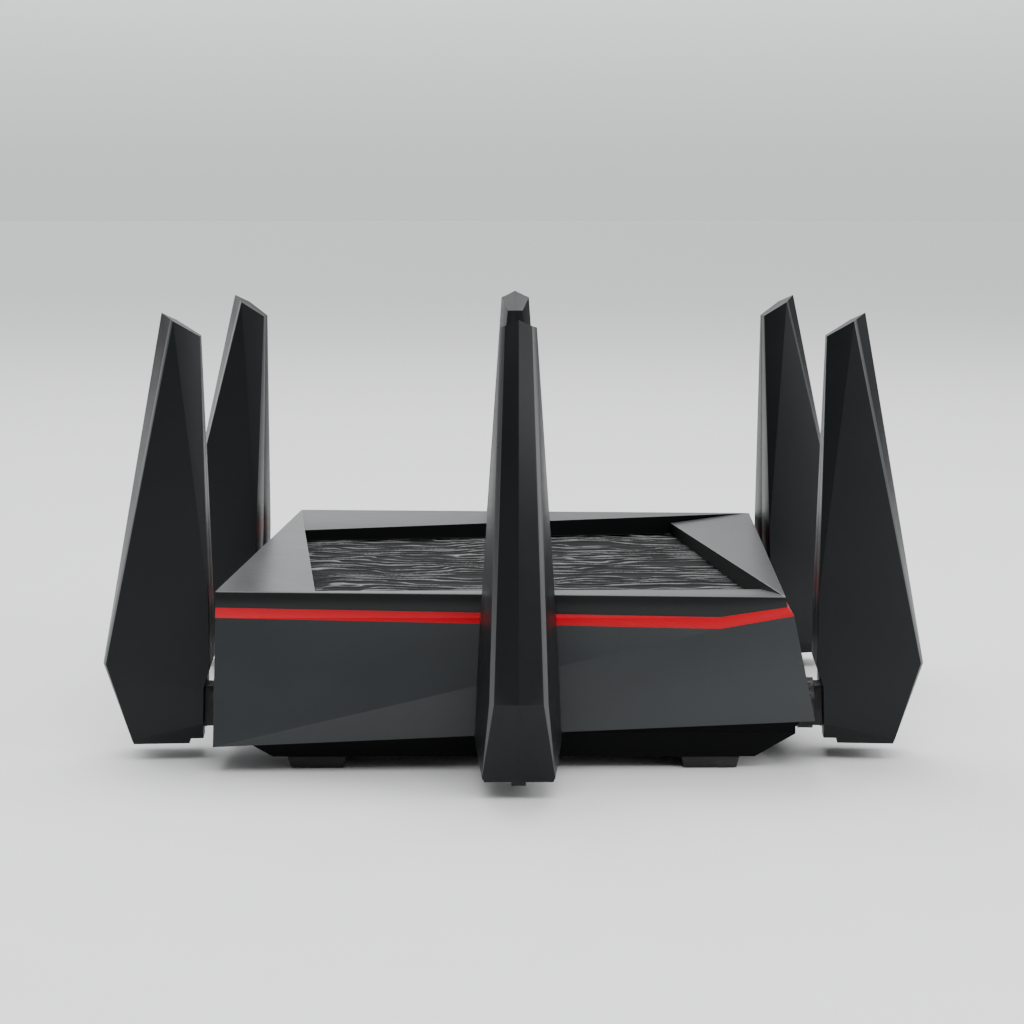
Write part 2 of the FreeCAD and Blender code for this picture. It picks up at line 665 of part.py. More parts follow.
def blade_half():
    """One half of a blade, solid, on the +Y side of the middle plane."""
    wide_z = BLADE_WIDE[1]
    ridge = [Vector(BLADE_TIP[0], 0, BLADE_TIP[1]), Vector(BLADE_WIDE[0], 0, wide_z)]
    shoulder = [Vector(*BLADE_SHOULDER, top_edge_z(BLADE_SHOULDER[0])),
                Vector(*BLADE_WIDE_SHOULDER, wide_z)]
    bevel = [Vector(*bevel_top()), Vector(*bevel_wide())]
    inner_top = Vector(*BLADE_INNER_TOP)
    crease = Vector(*BLADE_CREASE_END)
    lower = [BLADE_HEEL] + list(BLADE_STEP)
    side = [Vector(x, plane_y(broad_plane(), x, z), z) for x, z in lower]
    middle = [Vector(x, 0, z) for x, z in lower]
    inner_middle = Vector(inner_top.x, 0, inner_top.z)
    crease_middle = Vector(crease.x, 0, crease.z)
    faces = [
        Part.makeRuledSurface(Part.makeLine(*ridge), Part.makeLine(*shoulder)),
        Part.makeRuledSurface(Part.makeLine(*shoulder), Part.makeLine(*bevel)),
        facet(bevel[0], inner_top, crease),
        facet(bevel[0], crease, *reversed(side), bevel[1]),
        facet(ridge[0], shoulder[0], bevel[0], inner_top, inner_middle),
        facet(inner_top, crease, crease_middle, inner_middle),
        facet(crease, side[-1], middle[-1], crease_middle),
        facet(ridge[0], inner_middle, crease_middle, *reversed(middle), ridge[1]),
        facet(ridge[1], shoulder[1], middle[0]),
        facet(shoulder[1], side[0], middle[0]),
        facet(shoulder[1], bevel[1], side[0]),
    ]
    for i in range(len(lower) - 1):
        faces.append(facet(side[i], side[i + 1], middle[i + 1], middle[i]))
    heel_z = BLADE_HEEL[1]
    heel_side = ((100, HEEL_HALF, heel_z), (150, HEEL_HALF, heel_z),
                 (150, HEEL_HALF + 10 * HEEL_SLOPE, heel_z + 10))
    return closed_solid(faces).cut(beyond(heel_side))


def blade_cavity():
    """The hollow for the radiator, above the hinge, on the +Y side."""
    outline = [(124.5, CAVITY_FLOOR), (155.0, CAVITY_FLOOR), (135.0, 155.0), (124.0, 155.0)]
    hollow = profile_face(outline, -1).extrude(Vector(0, 40, 0))
    hollow = hollow.cut(beyond(broad_plane(), SHELL_WALL))
    return hollow.cut(beyond(upper_plane(), SHELL_WALL))


def profile_face(points, y):
    return facet(*[Vector(x, y, z) for x, z in points])


def heel_rib():
    """The small rib under the blade's heel, on the +Y side."""
    outline = [(134.0, 8.0), (136.2, 5.4), (146.4, 5.4), (148.4, 8.0)]
    return profile_face(outline, 0).extrude(Vector(0, 2.7, 0))


def hinge_space():
    """The slot for the elbow's tongue and the bore for the pin."""
    x, z = HINGE
    slot = box((110, -SLOT_HALF, 0), (x + 9.3, SLOT_HALF, z + 15.5))
    return [slot, rod(PIN_RADIUS, (x, -9.2, z), (x, 9.2, z))]


def blade_shell():
    return joined(blade_half(), heel_rib()).cut([blade_cavity()] + hinge_space())


def mirrored(shape):
    return shape.mirror(Vector(0, 0, 0), Vector(0, 1, 0))


def radiator():
    outline = [(126.0, 45.0), (150.0, 45.0), (133.5, 150.0), (126.0, 150.0)]
    return profile_face(outline, -0.4).extrude(Vector(0, 0.8, 0))


def elbow():
    x, z = HINGE
    barrel = rod(BARREL_RADIUS, (NUT_REACH[0], 0, z), (NUT_REACH[1] + 0.4, 0, z))
    neck = box((NUT_REACH[1], -TONGUE_HALF, z - TONGUE_RADIUS), (x, TONGUE_HALF, z + TONGUE_RADIUS))
    knuckle = rod(TONGUE_RADIUS, (x, -TONGUE_HALF, z), (x, TONGUE_HALF, z))
    bore = rod(JACK_RADIUS + RUN_FIT, (NUT_REACH[0] - 1, 0, z), (JACK_REACH[1] + 0.2, 0, z))
    pin_hole = rod(PIN_RADIUS + RUN_FIT, (x, -10, z), (x, 10, z))
    return joined(barrel, neck, knuckle).cut([bore, pin_hole])


def collar_nut():
    z = HINGE[1]
    ring = rod(NUT_RADIUS, (NUT_REACH[0], 0, z), (NUT_REACH[1], 0, z))
    grips = []
    for i in range(24):
        angle = math.radians(15 * i)
        y = (NUT_RADIUS + 0.2) * math.cos(angle)
        height = z + (NUT_RADIUS + 0.2) * math.sin(angle)
        grips.append(rod(0.6, (NUT_REACH[0] - 1, y, height), (NUT_REACH[1] - 1.2, y, height)))
    return ring.cut([rod(BARREL_RADIUS, (100, 0, z), (130, 0, z))] + grips)


def hinge_pin():
    x, z = HINGE
    return rod(PIN_RADIUS, (x, -9.2, z), (x, 9.2, z))


# ---- parts list ---------------------------------------------------------------------------------
def case_parts():
    parts = {
        "top_cover": top_cover(),
        "textured_panel": textured_panel(),
        "rim_band": rim_band(),
        "red_trim_band": red_trim_band(),
        "side_housing": side_housing(),
        "base_pan": base_pan(),
        "rubber_feet": Part.makeCompound(rubber_feet()),
        "case_screws": Part.makeCompound(case_screws()),
        "rating_plate": rating_plate(),
        "rear_port_bezel": rear_port_bezel(),
        "main_board": main_board(),
        "heatsink": heatsink(),
        "shield_cans": Part.makeCompound(shield_cans()),
        "antenna_jacks": Part.makeCompound(antenna_jacks()),
        "antenna_leads": Part.makeCompound(antenna_leads()),
        "network_port_block": network_port_block(),
        "usb_port": usb_port(),
        "dc_jack": dc_jack(),
        "port_light_windows": Part.makeCompound(light_windows()),
        "button_switches": Part.makeCompound(button_switches()),
    }
    for name in BUTTONS:
        parts[name] = button(name)
    return parts


def antenna_parts():
    shell = blade_shell()
    tilting = {"shell_a": shell, "shell_b": mirrored(shell), "radiator": radiator(),
               "hinge_pin": hinge_pin()}
    turning = {"elbow": elbow(), "collar_nut": collar_nut()}
    parts = {}
    for name in ANTENNAS:
        for piece, shape in tilting.items():
            parts["antenna_" + name + "_" + piece] = placed(leaned(shape, name), name)
        for piece, shape in turning.items():
            parts["antenna_" + name + "_" + piece] = placed(shape, name)
    return parts


def main():
    os.makedirs("parts", exist_ok=True)
    parts = case_parts()
    parts.update(antenna_parts())
    for name, shape in parts.items():
        shape.exportStep("parts/" + name + ".step")


main()
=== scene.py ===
import json
import math

import bmesh
import bpy
from mathutils import Matrix, Vector


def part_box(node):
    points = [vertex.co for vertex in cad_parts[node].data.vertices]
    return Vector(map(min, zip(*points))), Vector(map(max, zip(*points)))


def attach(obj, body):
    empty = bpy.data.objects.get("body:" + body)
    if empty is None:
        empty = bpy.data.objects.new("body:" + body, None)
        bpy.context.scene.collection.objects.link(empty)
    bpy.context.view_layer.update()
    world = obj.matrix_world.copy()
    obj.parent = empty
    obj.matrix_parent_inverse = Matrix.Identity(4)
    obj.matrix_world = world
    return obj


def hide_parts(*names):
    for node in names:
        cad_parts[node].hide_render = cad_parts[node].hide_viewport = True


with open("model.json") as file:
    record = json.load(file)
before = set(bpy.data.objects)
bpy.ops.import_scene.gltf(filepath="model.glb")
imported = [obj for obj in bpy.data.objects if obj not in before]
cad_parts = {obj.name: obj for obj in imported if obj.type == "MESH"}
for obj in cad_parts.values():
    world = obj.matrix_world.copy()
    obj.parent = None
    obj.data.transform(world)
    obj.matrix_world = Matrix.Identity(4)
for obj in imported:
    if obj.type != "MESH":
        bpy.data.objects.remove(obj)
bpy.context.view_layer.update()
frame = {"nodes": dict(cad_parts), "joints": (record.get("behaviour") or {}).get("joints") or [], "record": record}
NODES = frame["nodes"]
JOINTS = {joint["name"]: joint for joint in frame["joints"]}
MM = 0.001
ANTENNA_NAMES = ("front_left", "back_left", "front_right", "back_right", "front", "back")


# ---- node trees ---------------------------------------------------------------------------------
class Value:
    """A node's output that takes part in arithmetic."""

    def __init__(self, tree, socket):
        self.tree = tree
        self.socket = socket

    def maths(self, operation, *others):
        return self.tree.maths(operation, self, *others)

    def __add__(self, other):
        return self.maths("ADD", other)

    def __sub__(self, other):
        return self.maths("SUBTRACT", other)

    def __rsub__(self, other):
        return self.tree.maths("SUBTRACT", other, self)

    def __mul__(self, other):
        return self.maths("MULTIPLY", other)

    def __truediv__(self, other):
        return self.maths("DIVIDE", other)

    __radd__ = __add__
    __rmul__ = __mul__


class Tree:
    """Adds nodes to a shader or geometry tree."""

    def __init__(self, tree):
        self.tree = tree

    def node(self, kind, settings=None, inputs=None, output=0):
        """One node: its settings first, then the values or links of its inputs."""
        made = self.tree.nodes.new(kind)
        for key, setting in (settings or {}).items():
            if key == "stops":
                self.set_stops(made.color_ramp, setting)
            else:
                setattr(made, key, setting)
        for key, given in (inputs or {}).items():
            self.feed(made.inputs[key], given)
        return None if output is None else Value(self, made.outputs[output])

    def set_stops(self, ramp, stops):
        while len(ramp.elements) < len(stops):
            ramp.elements.new(0.5)
        for element, (place, shade) in zip(ramp.elements, stops):
            element.position = place
            element.color = (shade, shade, shade, 1.0)

    def feed(self, socket, given):
        if isinstance(given, Value):
            self.tree.links.new(given.socket, socket)
        else:
            socket.default_value = given

    def maths(self, operation, *operands):
        return self.node("ShaderNodeMath", {"operation": operation}, dict(enumerate(operands)))

    def vector(self, x=0.0, y=0.0, z=0.0):
        return self.node("ShaderNodeCombineXYZ", None, {0: x, 1: y, 2: z})

    def along(self, vector, axis):
        return self.node("ShaderNodeSeparateXYZ", None, {0: vector}, output=axis)

    def scaled(self, vector, factors):
        return self.node("ShaderNodeVectorMath", {"operation": "MULTIPLY"},
                         {0: vector, 1: factors})

    def shifted(self, vector, amount):
        return self.node("ShaderNodeVectorMath", {"operation": "ADD"}, {0: vector, 1: amount})

    def noise(self, place, scale, detail=2.0, roughness=0.5):
        return self.node("ShaderNodeTexNoise", None, {
            "Vector": place, "Scale": scale, "Detail": detail, "Roughness": roughness})

    def ramp(self, value, stops):
        return self.node("ShaderNodeValToRGB", {"stops": stops}, {"Fac": value})


class Finish(Tree):
    """A material with its own node tree."""

    def __init__(self, name):
        self.material = bpy.data.materials.new(name)
        self.material.use_nodes = True
        super().__init__(self.material.node_tree)
        self.tree.nodes.clear()
        self.place = self.node("ShaderNodeTexCoord", output="Object")

    def tinted(self, colour, tone):
        """A colour brightened or darkened by a value."""
        return self.node("ShaderNodeVectorMath", {"operation": "SCALE"},
                         {0: colour, "Scale": tone})

    def blended(self, share, first, second):
        return self.node("ShaderNodeMix", {"data_type": "RGBA"},
                         {0: share, 6: rgba(first), 7: rgba(second)}, output=2)

    def bumped(self, height, depth):
        return self.node("ShaderNodeBump", None,
                         {"Height": height, "Distance": depth, "Strength": 1.0})

    def surface(self, **inputs):
        """The finished material, from the shader's inputs by name."""
        named = {key.replace("_", " ").title().replace("Ior", "IOR"): given
                 for key, given in inputs.items()}
        if not isinstance(named.get("Base Color"), Value):
            named["Base Color"] = rgba(named["Base Color"])
        shader = self.node("ShaderNodeBsdfPrincipled", None, named)
        self.node("ShaderNodeOutputMaterial", None, {"Surface": shader}, output=None)
        return self.material


def rgba(colour):
    if isinstance(colour, Value):
        return colour
    return (colour[0], colour[1], colour[2], 1.0)


# ---- finishes -----------------------------------------------------------------------------------
def moulded_plastic(name, colour, roughness, grain_mm=0.45, grain_depth_mm=0.03, mottling=0.16,
                    gloss=0.5):
    """Hard plastic with a spark-eroded grain, faint flow marks and handling marks."""
    finish = Finish(name)
    grain = finish.noise(finish.place, 1 / (grain_mm * MM), detail=3.0, roughness=0.6)
    flow = finish.noise(finish.scaled(finish.place, (1.0, 1.0, 2.2)), 19.0, detail=4.0)
    marks = finish.noise(finish.scaled(finish.place, (1.0, 4.0, 9.0)), 60.0, detail=5.0,
                         roughness=0.7)
    rubbed = finish.ramp(marks, [(0.52, 0.0), (0.74, 1.0)])
    tone = 1.0 + (flow - 0.5) * mottling + (grain - 0.5) * 0.18
    sheen = roughness + (flow - 0.5) * 0.10 + (grain - 0.5) * 0.08 - rubbed * 0.05
    relief = finish.bumped(grain, grain_depth_mm * MM)
    return finish.surface(base_color=finish.tinted(colour, tone), roughness=sheen,
                          specular_ior_level=gloss, normal=relief)


def smooth_plastic(name, colour, roughness, gloss=0.5):
    """Polished plastic with slight orange peel and fine hairline marks."""
    finish = Finish(name)
    peel = finish.noise(finish.place, 420.0, detail=1.0)
    hairlines = finish.noise(finish.scaled(finish.place, (6.0, 6.0, 300.0)), 9.0, detail=4.0)
    cloud = finish.noise(finish.place, 24.0, detail=3.0)
    tone = 1.0 + (cloud - 0.5) * 0.14
    sheen = roughness + (hairlines - 0.5) * 0.12 + (cloud - 0.5) * 0.06
    relief = finish.bumped(peel, 0.02 * MM)
    return finish.surface(base_color=finish.tinted(colour, tone), roughness=sheen,
                          specular_ior_level=gloss, normal=relief)


def grained_metal(name, colour, roughness, stretch=(1.0, 40.0, 40.0)):
    """Drawn or rolled metal, grain along one direction, with dull patches."""
    finish = Finish(name)
    drawn = finish.noise(finish.scaled(finish.place, stretch), 90.0, detail=4.0)
    patches = finish.noise(finish.place, 130.0, detail=3.0)
    tone = 1.0 + (drawn - 0.5) * 0.20 + (patches - 0.5) * 0.12
    sheen = roughness + (drawn - 0.5) * 0.16 + (patches - 0.5) * 0.14
    relief = finish.bumped(drawn, 0.01 * MM)
    return finish.surface(base_color=finish.tinted(colour, tone), roughness=sheen,
                          metallic=1.0, normal=relief)


def foot_rubber():
    finish = Finish("foot_rubber")
    pores = finish.noise(finish.place, 1700.0, detail=2.0)
    dust = finish.ramp(finish.noise(finish.place, 160.0, detail=5.0), [(0.48, 0.0), (0.8, 1.0)])
    colour = finish.blended(dust * 0.35, (0.010, 0.010, 0.011), (0.060, 0.058, 0.055))
    return finish.surface(base_color=colour, roughness=0.78 + dust * 0.12,
                          normal=finish.bumped(pores, 0.06 * MM))


def grain_panel_finish(low_z, high_z):
    """Black moulding whose raised grain turns lighter, smoother and partly metallic towards its crests."""
    finish = Finish("grain_panel")
    height = (finish.along(finish.place, "Z") - low_z) / (high_z - low_z)
    streaks = finish.noise(finish.scaled(finish.place, (1.0, 9.0, 1.0)), 130.0, detail=5.0,
                           roughness=0.7)
    crest = finish.ramp(height + (streaks - 0.5) * 0.5, [(0.55, 0.0), (1.0, 1.0)])
    colour = finish.blended(crest, (0.002, 0.0022, 0.0025), (0.15, 0.155, 0.157))
    fibre = finish.noise(finish.scaled(finish.place, (1.0, 14.0, 1.0)), 210.0, detail=3.0)
    return finish.surface(base_color=colour, roughness=0.80 - crest * 0.36,
                          specular_ior_level=0.2, metallic=crest * 0.25,
                          normal=finish.bumped(fibre, 0.10 * MM))


def board_finish():
    """Green solder mask over copper tracks."""
    finish = Finish("board")
    tracks = finish.node("ShaderNodeTexVoronoi", {"feature": "DISTANCE_TO_EDGE"},
                         {"Vector": finish.place, "Scale": 260.0})
    copper = finish.ramp(tracks, [(0.03, 1.0), (0.08, 0.0)])
    colour = finish.blended(copper, (0.005, 0.055, 0.025), (0.02, 0.13, 0.05))
    return finish.surface(base_color=colour, roughness=0.34 + copper * 0.1,
                          normal=finish.bumped(copper, 0.03 * MM))


def light_window_finish():
    finish = Finish("light_window")
    haze = finish.noise(finish.place, 900.0, detail=2.0)
    colour = finish.blended(haze, (0.62, 0.66, 0.68), (0.85, 0.88, 0.90))
    return finish.surface(base_color=colour, roughness=0.18 + haze * 0.1,
                          normal=finish.bumped(haze, 0.02 * MM))


def plate_finish():
    """A blank printed label with paper fibre under a satin film."""
    finish = Finish("plate")
    fibre = finish.noise(finish.scaled(finish.place, (1.0, 2.0, 1.0)), 700.0, detail=4.0)
    colour = finish.blended(fibre, (0.30, 0.30, 0.31), (0.38, 0.38, 0.38))
    return finish.surface(base_color=colour, roughness=0.42 + fibre * 0.12,
                          normal=finish.bumped(fibre, 0.02 * MM))


# The *_edge finishes are lighter copies of their pieces' finishes for rounded edges and ridge strips: painted
# highlights.
FINISHES = {
    "cover": moulded_plastic("cover", (0.050, 0.053, 0.054), 0.36, grain_depth_mm=0.02,
                             gloss=0.45),
    "cover_edge": moulded_plastic("cover_edge", (0.13, 0.135, 0.135), 0.30),
    # painted shade: a near-black copy of the cover for the walls round the sunk panel, which lie in shade
    "recess": moulded_plastic("recess", (0.002, 0.0022, 0.0024), 0.60, gloss=0.1),
    "rim": smooth_plastic("rim", (0.006, 0.0068, 0.007), 0.38, gloss=0.25),
    "rim_edge": smooth_plastic("rim_edge", (0.030, 0.032, 0.032), 0.30),
    "red": smooth_plastic("red", (0.44, 0.0014, 0.010), 0.36, gloss=0.15),
    "red_edge": smooth_plastic("red_edge", (0.52, 0.006, 0.010), 0.30, gloss=0.2),
    "housing": moulded_plastic("housing", (0.0195, 0.0225, 0.0240), 0.42, gloss=0.36),
    "housing_edge": moulded_plastic("housing_edge", (0.050, 0.054, 0.056), 0.34),
    "base": moulded_plastic("base", (0.0012, 0.0014, 0.0018), 0.60, grain_mm=0.6, gloss=0.08),
    "base_edge": moulded_plastic("base_edge", (0.006, 0.0065, 0.007), 0.46, gloss=0.2),
    "foot_rubber": foot_rubber(),
    "steel": grained_metal("steel", (0.46, 0.46, 0.47), 0.34),
    "plate": plate_finish(),
    "board": board_finish(),
    "heatsink": grained_metal("heatsink", (0.52, 0.53, 0.55), 0.38, stretch=(40.0, 1.0, 40.0)),
    "shield": grained_metal("shield", (0.60, 0.60, 0.58), 0.30),
    "jack_brass": grained_metal("jack_brass", (0.78, 0.56, 0.22), 0.26),
    "lead": smooth_plastic("lead", (0.015, 0.015, 0.016), 0.45),
    "socket": smooth_plastic("socket", (0.012, 0.012, 0.013), 0.38),
    "light_window": light_window_finish(),
    "button": moulded_plastic("button", (0.035, 0.036, 0.038), 0.40),
    "button_edge": moulded_plastic("button_edge", (0.09, 0.09, 0.092), 0.32),
    "bezel": moulded_plastic("bezel", (0.010, 0.0105, 0.011), 0.48, gloss=0.3),
    "bezel_edge": moulded_plastic("bezel_edge", (0.030, 0.031, 0.032), 0.38),
    "socket_edge": smooth_plastic("socket_edge", (0.04, 0.04, 0.042), 0.30),
    "usb_insulator": smooth_plastic("usb_insulator", (0.30, 0.012, 0.014), 0.34),
    "contact_gold": grained_metal("contact_gold", (0.83, 0.60, 0.24), 0.22,
                                  stretch=(40.0, 1.0, 40.0)),
    "hinge_edge": moulded_plastic("hinge_edge", (0.022, 0.023, 0.024), 0.36),
    "antenna_shell": moulded_plastic("antenna_shell", (0.0046, 0.0060, 0.0066), 0.40,
                                     gloss=0.20),
    "antenna_edge": moulded_plastic("antenna_edge", (0.034, 0.037, 0.038), 0.32,
                                    grain_depth_mm=0.015),
    "hinge_plastic": moulded_plastic("hinge_plastic", (0.008, 0.0085, 0.009), 0.44),
}


# ---- meshes -------------------------------------------------------------------------------------
WELD = 0.002 * MM
FLAT = math.radians(0.6)
SHARP_EDGE = math.radians(28.0)


def merged(node):
    """A node's triangles as one welded mesh."""
    mesh = bmesh.new()
    mesh.from_mesh(NODES[node].data)
    bmesh.ops.remove_doubles(mesh, verts=mesh.verts, dist=WELD)
    for face in mesh.faces:
        face.material_index = 0
    return mesh


def sharpness(edge):
    return edge.calc_face_angle(0.0) if len(edge.link_faces) == 2 else 0.0


def flattened(mesh):
    """Join the triangles of each flat face, leaving finishes apart."""
    bmesh.ops.dissolve_limit(mesh, angle_limit=FLAT, use_dissolve_boundaries=False,
                             verts=mesh.verts, edges=mesh.edges, delimit={"MATERIAL"})


def eased(mesh, width, angle=20.0, shortest=4.0 * MM, finish=1):
    """Round the long sharp edges, and give the rounds a finish of the piece (-1 for none); a lighter edge finish
    there is a painted highlight.
    """
    edges = [edge for edge in mesh.edges
             if sharpness(edge) > math.radians(angle) and edge.calc_length() > shortest]
    bmesh.ops.bevel(mesh, geom=edges, offset=width, offset_type="OFFSET", segments=2,
                    profile=0.5, affect="EDGES", clamp_overlap=True, material=finish)


def softened(mesh):
    """Smooth shading with the sharp edges kept."""
    for face in mesh.faces:
        face.smooth = True
    for edge in mesh.edges:
        edge.smooth = sharpness(edge) < SHARP_EDGE


def finished_piece(name, mesh, finishes, body, slot, *nodes):
    """A mesh made a piece of the object, in place of any CAD nodes named."""
    data = bpy.data.meshes.new(name)
    mesh.to_mesh(data)
    mesh.free()
    for finish in finishes:
        data.materials.append(FINISHES[finish])
    piece = bpy.data.objects.new(name, data)
    bpy.context.scene.collection.objects.link(piece)
    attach(piece, body)
    if nodes:
        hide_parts(*nodes)


def eased_case_piece(node, slot, width, finishes, angle=20.0, shortest=4.0 * MM):
    """A case piece with the CAD's shape and rounded edges."""
    mesh = merged(node)
    flattened(mesh)
    eased(mesh, width, angle, shortest)
    softened(mesh)
    finished_piece(node + "_eased", mesh, finishes, body_of(node), slot, node)


def body_of(node):
    for body, members in frame["record"]["behaviour"]["bodies"].items():
        if node in members:
            return body


# ---- case ---------------------------------------------------------------------------------------
RECESS_REACH = 0.93          # the recess walls' furthest reach, as a share of the cover's
UPRIGHT = 0.2                # the most that a wall's normal points up or down


def top_cover():
    """The facets, with the walls round the sunk panel in a darker, duller finish whose near-black colour is
    painted shade.
    """
    mesh = merged("top_cover")
    reach = max(vertex.co.x for vertex in mesh.verts)
    for face in mesh.faces:
        middle = face.calc_center_median()
        inside = max(abs(middle.x), abs(middle.y)) < RECESS_REACH * reach
        # painted shade: the upright walls round the sunk panel take the near-black recess finish
        if inside and abs(face.normal.z) < UPRIGHT:
            face.material_index = 2
    flattened(mesh)
    eased(mesh, 0.35 * MM, shortest=20 * MM)
    softened(mesh)
    finished_piece("top_cover_eased", mesh, ("cover", "cover_edge", "recess"), "case", "cover",
                   "top_cover")


def case_shells():
    top_cover()
    eased_case_piece("rim_band", "rim", 0.25 * MM, ("rim", "rim_edge"), shortest=8 * MM)
    eased_case_piece("red_trim_band", "red", 0.25 * MM, ("red", "red_edge"), shortest=8 * MM)
    eased_case_piece("side_housing", "housing", 0.40 * MM, ("housing", "housing_edge"),
                     angle=6.0, shortest=12 * MM)
    eased_case_piece("base_pan", "base", 0.5 * MM, ("base", "base_edge"), shortest=40 * MM)
    eased_case_piece("rubber_feet", "foot_rubber", 0.8 * MM, ("foot_rubber", "foot_rubber"))
    eased_case_piece("rating_plate", "plate", 0.12 * MM, ("plate", "plate"))


# ---- pieces made by geometry nodes --------------------------------------------------------------
def geometry_tree(name, sizes, counts=None):
    """A new tree with named inputs: its builder, and each input's value by name."""
    tree = bpy.data.node_groups.new(name, "GeometryNodeTree")
    tree.interface.new_socket("Geometry", in_out="OUTPUT", socket_type="NodeSocketGeometry")
    counts = counts or {}
    for group, kind in ((sizes, "NodeSocketFloat"), (counts, "NodeSocketInt")):
        for item, given in group.items():
            socket = tree.interface.new_socket(item, in_out="INPUT", socket_type=kind)
            socket.default_value = given
    build = Tree(tree)
    names = (*sizes, *counts)
    return build, {item: build.node("NodeGroupInput", output=item) for item in names}


def ended(build, geometry, finish):
    """End a tree with real geometry in one finish."""
    real = build.node("GeometryNodeRealizeInstances", None, {0: geometry})
    dressed = build.node("GeometryNodeSetMaterial", None,
                         {"Geometry": real, "Material": FINISHES[finish]})
    build.node("NodeGroupOutput", None, {0: dressed}, output=None)
    return build.tree


def made_by(tree, name, sizes):
    """The plain mesh that a geometry tree gives for these sizes."""
    holder = bpy.data.objects.new(name, bpy.data.meshes.new(name))
    bpy.context.scene.collection.objects.link(holder)
    modifier = holder.modifiers.new("build", "NODES")
    modifier.node_group = tree
    for item in tree.interface.items_tree:
        if item.in_out == "INPUT" and item.name in sizes:
            modifier[item.identifier] = sizes[item.name]
    evaluated = holder.evaluated_get(bpy.context.evaluated_depsgraph_get())
    data = bpy.data.meshes.new_from_object(evaluated)
    holder.modifiers.remove(modifier)
    holder.data = data
    return holder


# ---- textured panel -----------------------------------------------------------------------------
GRAIN_DEPTH = 0.9 * MM
GRAIN_GRID = (230, 420)      # points along the panel's two sides
GRAIN_LINES = 165.0          # lines of grain in a metre
GRAIN_SWAY = (0.034, 0.012)  # how far the lines sway and ripple, in metres
GRAIN_SWIRL = 2.6            # how far the short swirls push them, in lines
GRAIN_FILL = 1.9             # the ridges' height before they are cut off level


def panel_corner():
    """The panel's front right corner, which gives its size and its turn."""
    vertices = [vertex.co for vertex in NODES["textured_panel"].data.vertices]
    return max(vertices, key=lambda co: co.x)


def grain_tree():
    """A grid lowered between wavy, broken ridges, like coarse wood grain."""
    build, given = geometry_tree("grain_panel", {
        "Side": 0.18, "Turn": 0.0, "Top": 0.06, "Depth": 0.001, "Seed": 3.0})
    grid = build.node("GeometryNodeMeshGrid", None, {
        "Size X": given["Side"], "Size Y": given["Side"], "Vertices X": GRAIN_GRID[0],
        "Vertices Y": GRAIN_GRID[1]})
    turned_grid = build.node("GeometryNodeTransform", None, {
        "Geometry": grid, "Rotation": build.vector(z=given["Turn"]),
        "Translation": build.vector(z=given["Top"])})
    place = build.node("GeometryNodeInputPosition")
    seeded = build.shifted(place, build.vector(z=given["Seed"]))
    sway = build.noise(build.scaled(seeded, (1.0, 1.3, 1.0)), 17.0, detail=1.0)
    ripple = build.noise(build.scaled(seeded, (1.0, 1.6, 1.0)), 52.0, detail=1.0)
    swirl = build.noise(build.scaled(seeded, (16.0, 48.0, 1.0)), 1.0, detail=1.0)
    broken = build.noise(build.scaled(seeded, (42.0, 150.0, 1.0)), 1.0, detail=2.0)
    bent = (build.along(place, "Y") + (sway - 0.5) * GRAIN_SWAY[0]
            + (ripple - 0.5) * GRAIN_SWAY[1])
    phase = build.maths("FRACT", bent * GRAIN_LINES + (swirl - 0.5) * GRAIN_SWIRL)
    ridge = 1.0 - build.maths("ABSOLUTE", phase * 2.0 - 1.0)
    crest = build.maths("MINIMUM", ridge * ridge * (broken * GRAIN_FILL), 1.0)
    shaped = build.node("GeometryNodeSetPosition", None, {
        "Geometry": turned_grid, "Offset": build.vector(z=(crest - 1.0) * given["Depth"])})
    return ended(build, shaped, "grain_panel")


def skirted(data, floor_z):
    """Close a sheet downwards: walls from its border to a flat floor."""
    mesh = bmesh.new()
    mesh.from_mesh(data)
    border = [edge for edge in mesh.edges if edge.is_boundary]
    walls = bmesh.ops.extrude_edge_only(mesh, edges=border)["geom"]
    for vertex in (item for item in walls if isinstance(item, bmesh.types.BMVert)):
        vertex.co.z = floor_z
    rim = [edge for edge in mesh.edges if edge.is_boundary]
    bmesh.ops.contextual_create(mesh, geom=rim)
    bmesh.ops.recalc_face_normals(mesh, faces=mesh.faces)
    mesh.to_mesh(data)
    mesh.free()


def textured_panel():
    low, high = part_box("textured_panel")
    FINISHES["grain_panel"] = grain_panel_finish(high.z - GRAIN_DEPTH, high.z)
    corner = panel_corner()
    turn = math.atan2(corner.y, corner.x) + math.pi / 4
    piece = made_by(grain_tree(), "textured_panel_grain", {
        "Side": math.hypot(corner.x, corner.y) * math.sqrt(2.0), "Turn": turn, "Top": high.z,
        "Depth": GRAIN_DEPTH})
    skirted(piece.data, low.z)
    for face in piece.data.polygons:
        face.use_smooth = True
    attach(piece, "case")
    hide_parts("textured_panel")


# ---- rear connections ---------------------------------------------------------------------------
SOCKET_COUNT = 5
SOCKET_CONTACTS = 8
SOCKET_CONTACT_PITCH = 1.02 * MM
SOCKET_CONTACT_SIZE = (0.45 * MM, 8.6 * MM, 0.30 * MM)
SOCKET_CONTACT_DEPTH = 7.4 * MM      # from the mouth to the contacts' middles
SOCKET_CONTACT_HEIGHT = 5.0 * MM
CONTACT_SLOPE = math.radians(24.0)
TONGUE_HALF = 5.5 * MM
TONGUE_DEPTHS = (12.0 * MM, 1.4 * MM)
TONGUE_THICKNESS = 1.7 * MM
TONGUE_DROP = 1.9 * MM               # from the USB shell's top to the tongue's
USB_CONTACTS = 4
USB_CONTACT_PITCH = 2.333 * MM
USB_CONTACT_SIZE = (1.1 * MM, 8.4 * MM, 0.24 * MM)
USB_CONTACT_DEPTH = 6.0 * MM
PIN_DEPTH = 10.4 * MM
PIN_PROFILE = ((0.0, 1.0), (8.2, 1.0), (8.8, 0.85), (9.1, 0.45))     # distance and radius, mm


